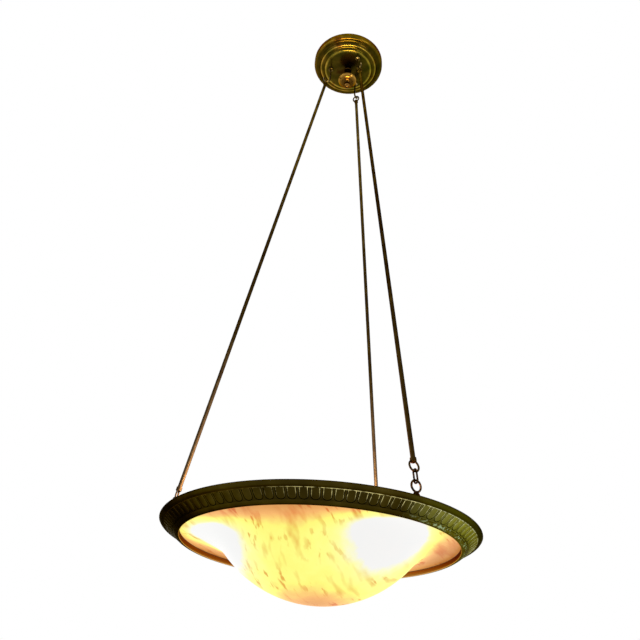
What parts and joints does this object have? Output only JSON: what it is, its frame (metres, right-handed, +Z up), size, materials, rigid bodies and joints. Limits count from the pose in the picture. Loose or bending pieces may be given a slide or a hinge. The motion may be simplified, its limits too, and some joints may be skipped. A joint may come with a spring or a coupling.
{
  "type": "bowl pendant light",
  "caption": "Ceiling pendant: a turned alabaster bowl in a cast bronze rim, hung on slim rods from hooks under a stepped brass canopy.",
  "frame": {"origin": "centre of the mounting strap's upper face, in the ceiling plane", "axes": "+Z up into the ceiling, -Y towards the front rod side, +X along the mounting strap"},
  "size_m": [0.45, 0.45, 1.1361],
  "materials": {
    "canopy_brass": "spun brass with an aged lacquer",
    "rod_brass": "dark antiqued brass",
    "rim_bronze": "cast bronze with a dark green patina",
    "felt": "matt wool felt",
    "alabaster": "polished translucent stone, lit from inside",
    "plated_steel": "zinc plated steel",
    "lamp_brass": "plain brass",
    "porcelain": "glazed white porcelain",
    "cap_metal": "bright pressed metal",
    "bulb_glass": "frosted glass, lit"
  },
  "bodies": {
    "canopy": {"canopy_shell": "canopy_brass", "mounting_strap": "plated_steel", "ground_screw": "plated_steel", "hanger_nipple": "plated_steel", "nipple_locknut": "plated_steel", "hook_plate": "plated_steel", "hook_nuts": "plated_steel", "hook_front": "canopy_brass", "hook_left": "canopy_brass", "hook_back": "canopy_brass"},
    "finial": {"finial": "canopy_brass"},
    "rod_front": {"rod_upper_eye_front": "rod_brass", "rod_tube_front": "rod_brass", "rod_lower_eye_front": "rod_brass", "link_front": "rod_brass"},
    "rod_left": {"rod_upper_eye_left": "rod_brass", "rod_tube_left": "rod_brass", "rod_lower_eye_left": "rod_brass", "link_left": "rod_brass"},
    "rod_back": {"rod_upper_eye_back": "rod_brass", "rod_tube_back": "rod_brass", "rod_lower_eye_back": "rod_brass", "link_back": "rod_brass"},
    "bowl": {"rim_ring": "rim_bronze", "felt_ring": "felt", "alabaster_bowl": "alabaster", "lamp_spider": "plated_steel", "spider_screws": "plated_steel", "cluster_cup": "lamp_brass", "cluster_cover": "lamp_brass", "cluster_bolt": "plated_steel", "cluster_nut": "plated_steel", "holder_nipples": "plated_steel", "rim_eye_front": "rod_brass", "rim_eye_left": "rod_brass", "rim_eye_back": "rod_brass", "lamp_holder_front": "porcelain", "lamp_holder_left": "porcelain", "lamp_holder_back": "porcelain", "screw_shell_front": "cap_metal", "screw_shell_left": "cap_metal", "screw_shell_back": "cap_metal"},
    "lamp_front": {"bulb_cap_front": "cap_metal", "bulb_glass_front": "bulb_glass"},
    "lamp_left": {"bulb_cap_left": "cap_metal", "bulb_glass_left": "bulb_glass"},
    "lamp_back": {"bulb_cap_back": "cap_metal", "bulb_glass_back": "bulb_glass"}
  },
  "joints": [
    {"name": "bowl_sway", "type": "hinge", "parent": "canopy", "child": "bowl", "pos_m": [0, 0, 0.19275], "axis": [0, 1, 0], "range_deg": [-4, 4]},
    {"name": "rod_front_swing", "type": "hinge", "parent": "canopy", "child": "rod_front", "pos_m": [0.0225, -0.03897, -0.06353], "axis": [0, 1, 0], "range_deg": [-5.1, 5.1]},
    {"name": "rod_left_swing", "type": "hinge", "parent": "canopy", "child": "rod_left", "pos_m": [-0.045, 0, -0.06353], "axis": [0, 1, 0], "range_deg": [-5.1, 5.1]},
    {"name": "rod_back_swing", "type": "hinge", "parent": "canopy", "child": "rod_back", "pos_m": [0.0225, 0.03897, -0.06353], "axis": [0, 1, 0], "range_deg": [-5.1, 5.1]},
    {"name": "finial_turn", "type": "hinge", "parent": "canopy", "child": "finial", "pos_m": [0, 0, -0.024], "axis": [0, 0, 1], "continuous": true},
    {"name": "lamp_front_turn", "type": "hinge", "parent": "bowl", "child": "lamp_front", "pos_m": [0.05271, -0.06282, -1.0318], "axis": [0.6428, -0.766, 0], "continuous": true},
    {"name": "lamp_left_turn", "type": "hinge", "parent": "bowl", "child": "lamp_left", "pos_m": [-0.08075, -0.01424, -1.0318], "axis": [-0.9848, -0.1736, 0], "continuous": true},
    {"name": "lamp_back_turn", "type": "hinge", "parent": "bowl", "child": "lamp_back", "pos_m": [0.02805, 0.07705, -1.0318], "axis": [0.342, 0.9397, 0], "continuous": true}
  ],
  "couplings": [
    {"joint": "rod_front_swing", "follows": "bowl_sway", "ratio": 1.2678},
    {"joint": "rod_left_swing", "follows": "bowl_sway", "ratio": 1.2678},
    {"joint": "rod_back_swing", "follows": "bowl_sway", "ratio": 1.2678}
  ]
}
